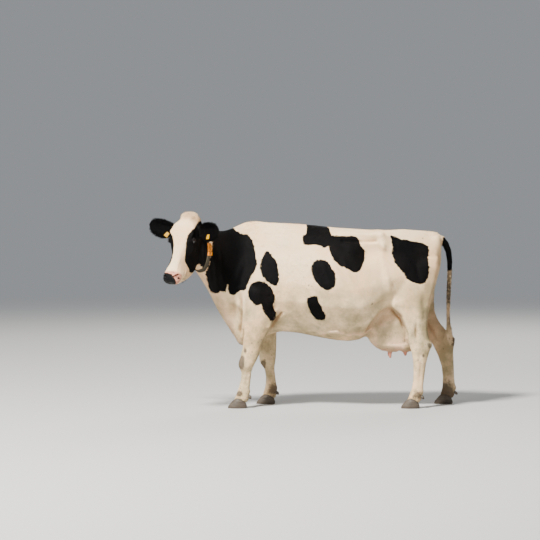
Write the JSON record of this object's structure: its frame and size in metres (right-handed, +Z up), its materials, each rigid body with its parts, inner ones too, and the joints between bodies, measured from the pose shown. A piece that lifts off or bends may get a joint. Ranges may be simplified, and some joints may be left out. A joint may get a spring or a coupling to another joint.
{
  "type": "dairy cow",
  "caption": "Life-size Holstein-Friesian dairy cow standing still with its head turned to the left, white with black patches, wearing a collar with number plates and ear tags.",
  "frame": {"origin": "on the floor, in the middle of the cow's length and width", "axes": "+X from the head towards the tail, +Y towards the cow's right side, +Z up"},
  "size_m": [2.457, 0.9617, 1.5464],
  "materials": {
    "white hide": "matte",
    "black hide": "satin",
    "udder skin": "matte",
    "eye": "gloss",
    "horn": "satin",
    "tag plastic": "satin",
    "plate plastic": "satin",
    "webbing": "matte"
  },
  "bodies": {
    "root": {"claw_fore_left_inner": "horn", "claw_fore_left_outer": "horn", "claw_fore_right_inner": "horn", "claw_fore_right_outer": "horn", "claw_hind_left_inner": "horn", "claw_hind_left_outer": "horn", "claw_hind_right_inner": "horn", "claw_hind_right_outer": "horn", "collar": "webbing", "dewclaw_fore_left_inner": "horn", "dewclaw_fore_left_outer": "horn", "dewclaw_fore_right_inner": "horn", "dewclaw_fore_right_outer": "horn", "dewclaw_hind_left_inner": "horn", "dewclaw_hind_left_outer": "horn", "dewclaw_hind_right_inner": "horn", "dewclaw_hind_right_outer": "horn", "ear_left": "black hide", "ear_right": "black hide", "ear_tag_left": "tag plastic", "ear_tag_right": "tag plastic", "eye_left": "eye", "eye_right": "eye", "head": "white hide", "leg_fore_left_lower": "white hide", "leg_fore_left_upper": "white hide", "leg_fore_right_lower": "white hide", "leg_fore_right_upper": "white hide", "leg_hind_left_lower": "white hide", "leg_hind_left_upper": "white hide", "leg_hind_right_lower": "white hide", "leg_hind_right_upper": "white hide", "neck": "black hide", "number_plate_1": "plate plastic", "number_plate_2": "plate plastic", "number_plate_3": "plate plastic", "tail": "black hide", "tail_tip": "white hide", "teat_fore_left": "udder skin", "teat_fore_right": "udder skin", "teat_hind_left": "udder skin", "teat_hind_right": "udder skin", "trunk": "white hide", "udder": "udder skin"}
  },
  "joints": []
}
